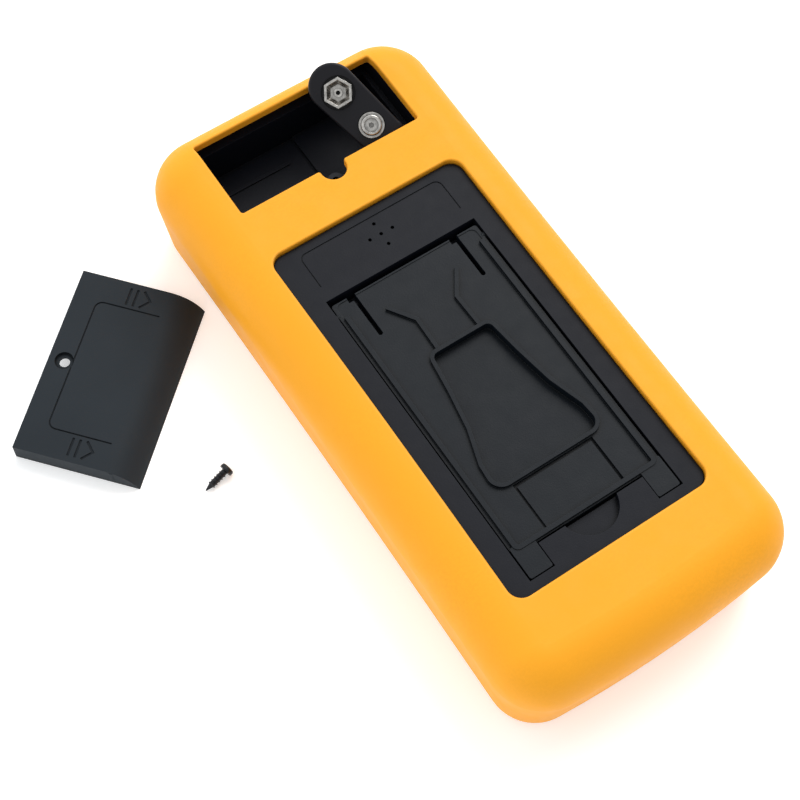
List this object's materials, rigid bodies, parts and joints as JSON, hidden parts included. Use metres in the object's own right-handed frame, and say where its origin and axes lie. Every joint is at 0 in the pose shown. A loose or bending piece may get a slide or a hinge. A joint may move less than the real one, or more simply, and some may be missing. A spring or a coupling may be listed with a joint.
{
  "type": "digital multimeter",
  "caption": "Hand-held digital multimeter in a rubber holster, lying on its front with the tilt stand folded, the battery bay open, its snap raised, and the door and screw beside it.",
  "frame": {"origin": "centre of the meter's footprint, on the plane of the holster's front rim, which is what the meter lies on", "axes": "+Z out of the back of the meter, +Y along the meter towards its battery and display end, +X to the right seen from above the back"},
  "size_m": [0.1542, 0.1894, 0.0448],
  "materials": {
    "holster_rubber": "soft matte moulded rubber",
    "case_plastic": "fine spark-eroded texture",
    "stand_plastic": "fine spark-eroded texture",
    "door_plastic": "fine spark-eroded texture",
    "printed_label": "printed film",
    "clear_lens": "clear moulded lens",
    "display": "reflective liquid-crystal glass",
    "inner_plastic": "moulded",
    "contact_rubber": "striped elastomer",
    "board": "solder mask",
    "gilding": "plated",
    "knob_plastic": "fine texture",
    "white_plastic": "moulded acetal",
    "steel": "plated",
    "bright_steel": "polished",
    "spring_bronze": "sprung strip",
    "key_plastic": "fine texture",
    "blue_plastic": "moulded",
    "fuse_tube": "clear",
    "nickel": "bright nickel plate",
    "shunt_alloy": "drawn wire",
    "chip_plastic": "moulded",
    "capacitor_sleeve": "shrink sleeve",
    "resistor_coat": "lacquer",
    "buzzer_brass": "rolled",
    "black_steel": "black oxide",
    "snap_vinyl": "smooth vinyl",
    "jack_brass": "turned",
    "red_plastic": "moulded",
    "black_plastic": "moulded"
  },
  "bodies": {
    "meter": {"board_screws": "steel", "buzzer_disc": "buzzer_brass", "capacitor_socket": "blue_plastic", "capacitors": "capacitor_sleeve", "case_screws": "black_steel", "circuit_board": "board", "collar_common": "black_plastic", "collar_high_current": "red_plastic", "collar_milliamp": "red_plastic", "collar_volt_ohm": "red_plastic", "display_window": "clear_lens", "front_case": "case_plastic", "front_label": "printed_label", "fuse_caps": "nickel", "fuse_clips": "spring_bronze", "fuse_glass": "fuse_tube", "hold_switch": "inner_plastic", "holster": "holster_rubber", "jack_common": "jack_brass", "jack_high_current": "jack_brass", "jack_milliamp": "jack_brass", "jack_volt_ohm": "jack_brass", "lcd_frame": "inner_plastic", "lcd_glass": "display", "main_chip": "chip_plastic", "power_switch": "inner_plastic", "rear_case": "case_plastic", "resistors": "resistor_coat", "shunt_wire": "shunt_alloy", "switch_pads": "gilding", "transistor_socket": "blue_plastic", "zebra_strip": "contact_rubber"},
    "dial": {"rotary_knob": "knob_plastic", "rotor_carrier": "white_plastic", "rotor_screw": "steel", "detent_balls": "bright_steel", "detent_springs": "steel", "wiper_contacts": "spring_bronze"},
    "power_key": {"power_button": "key_plastic"},
    "hold_key": {"hold_button": "key_plastic"},
    "stand": {"tilt_stand": "stand_plastic"},
    "snap": {"snap_body": "snap_vinyl", "snap_stud_terminal": "nickel", "snap_socket_terminal": "nickel"},
    "door": {"battery_door": "door_plastic"},
    "loose_screw": {"battery_door_screw": "black_steel"}
  },
  "joints": [
    {"name": "stand_hinge", "type": "hinge", "parent": "meter", "child": "stand", "pos_m": [0, 0.0223, 0.0343], "axis": [-1, 0, 0], "range_deg": [0, 65]},
    {"name": "dial_turn", "type": "hinge", "parent": "meter", "child": "dial", "pos_m": [0, -0.017, 0.004], "axis": [0, 0, 1], "continuous": true},
    {"name": "power_press", "type": "slide", "parent": "meter", "child": "power_key", "axis": [0, 0, 1], "range_m": [0, 0.002], "stiffness_N_per_m": 300, "springref_m": -0.001},
    {"name": "hold_press", "type": "slide", "parent": "meter", "child": "hold_key", "axis": [0, 0, 1], "range_m": [0, 0.002], "stiffness_N_per_m": 300, "springref_m": -0.001},
    {"name": "snap_fold", "type": "hinge", "parent": "meter", "child": "snap", "pos_m": [0.0195, 0.0635, 0.032], "axis": [0.9478, 0.319, 0], "range_deg": [-2, 10]},
    {"name": "door_lift", "type": "slide", "parent": "meter", "child": "door", "axis": [0, 0, 1], "range_m": [0, 0.05]},
    {"name": "screw_lift", "type": "slide", "parent": "meter", "child": "loose_screw", "axis": [0, 0, 1], "range_m": [0, 0.05]}
  ]
}
